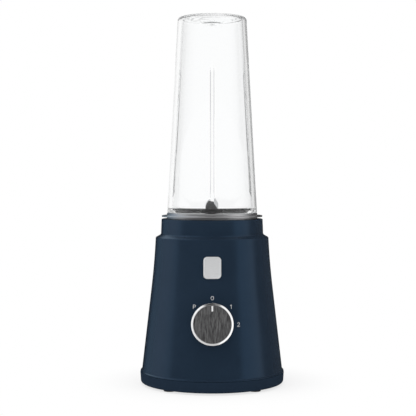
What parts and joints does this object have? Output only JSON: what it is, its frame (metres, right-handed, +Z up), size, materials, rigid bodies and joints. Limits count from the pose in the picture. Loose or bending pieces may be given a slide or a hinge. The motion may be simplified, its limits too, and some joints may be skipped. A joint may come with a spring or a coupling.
{
  "type": "countertop blender",
  "caption": "Personal countertop blender: flared navy motor base with a rotary speed knob, lift-out blade holder and clear upside-down bottle.",
  "frame": {"origin": "on the table under the feet, on the axis that the motor, blades and bottle share", "axes": "+Z up the blender, -Y out of the front where the knob is, +X to the right as seen from the front"},
  "size_m": [0.13, 0.1432, 0.3306],
  "materials": {
    "body_navy": "satin",
    "band_navy": "satin",
    "rubber": "matte",
    "screw_steel": "zinc plated",
    "badge_metal": "satin",
    "black_plastic": "matte",
    "switch_plastic": "matte",
    "cream_plastic": "matte",
    "yellow_film": "gloss",
    "wire_copper": "enamelled",
    "knob_chrome": "polished",
    "knob_dark": "vertical brushing",
    "pointer_white": "paint",
    "cast_alloy": "cast",
    "lamination": "stamped sheet",
    "bearing_steel": "ground",
    "brush_carbon": "matte",
    "brass": "plain",
    "fan_nylon": "matte",
    "pin_red": "matte",
    "spring_steel": "plain",
    "ring_steel": "satin, turned",
    "seal_silicone": "matte",
    "shaft_seal_rubber": "matte",
    "blade_steel": "ground edges",
    "clear_bottle": "clear, glossy"
  },
  "bodies": {
    "motor_base": {"base_housing": "body_navy", "base_cover": "band_navy", "feet": "rubber", "base_screws": "screw_steel", "badge": "badge_metal", "cord_gland": "rubber", "cord_clamp": "black_plastic", "clamp_screws": "screw_steel", "cup_seat": "black_plastic", "seat_screws": "screw_steel", "terminal_block": "cream_plastic", "noise_capacitor": "yellow_film", "wiring": "wire_copper", "rotary_switch": "switch_plastic", "switch_nut": "screw_steel", "upper_bracket": "cast_alloy", "lower_bracket": "cast_alloy", "motor_screws": "screw_steel", "motor_mounts": "rubber", "mount_screws": "screw_steel", "stator": "lamination", "field_coils": "wire_copper", "upper_bearing": "bearing_steel", "lower_bearing": "bearing_steel", "brush_holders": "brass", "brushes": "brush_carbon", "interlock_switch": "switch_plastic", "interlock_spring": "spring_steel"},
    "speed_knob": {"knob_body": "knob_chrome", "knob_face": "knob_dark", "knob_pointer": "pointer_white", "switch_shaft": "screw_steel"},
    "armature": {"motor_shaft": "bearing_steel", "armature_core": "lamination", "armature_windings": "wire_copper", "commutator": "wire_copper", "cooling_fan": "fan_nylon", "drive_coupling": "black_plastic"},
    "interlock": {"interlock_pin": "pin_red"},
    "cup_base": {"blade_holder": "black_plastic", "holder_ring": "ring_steel", "bottle_seal": "seal_silicone", "blade_bearing": "brass", "shaft_seal": "shaft_seal_rubber"},
    "blades": {"blade_shaft": "blade_steel", "blade_coupling": "black_plastic", "blade_lower": "blade_steel", "blade_upper": "blade_steel", "blade_nut": "blade_steel"},
    "bottle": {"bottle": "clear_bottle"}
  },
  "joints": [
    {"name": "knob_turn", "type": "hinge", "parent": "motor_base", "child": "speed_knob", "pos_m": [0, -0.05792, 0.0605], "axis": [0, -0.9932, 0.1162], "range_deg": [-90, 45]},
    {"name": "motor_spin", "type": "hinge", "parent": "motor_base", "child": "armature", "pos_m": [0, 0, 0.075], "axis": [0, 0, 1], "continuous": true},
    {"name": "interlock_press", "type": "slide", "parent": "motor_base", "child": "interlock", "axis": [0, 0, 1], "range_m": [-0.003, 0], "stiffness_N_per_m": 300, "springref_m": 0.001, "deforming": ["interlock_spring"]},
    {"name": "cup_lift", "type": "slide", "parent": "motor_base", "child": "cup_base", "axis": [0, 0, 1], "range_m": [0, 0.06]},
    {"name": "blade_spin", "type": "hinge", "parent": "cup_base", "child": "blades", "pos_m": [0, 0, 0.13], "axis": [0, 0, 1], "continuous": true},
    {"name": "bottle_turn", "type": "hinge", "parent": "cup_base", "child": "bottle", "pos_m": [0, 0, 0.14], "axis": [0, 0, 1], "range_deg": [0, 60]}
  ],
  "couplings": [
    {"joint": "blade_spin", "follows": "motor_spin", "ratio": 1}
  ]
}
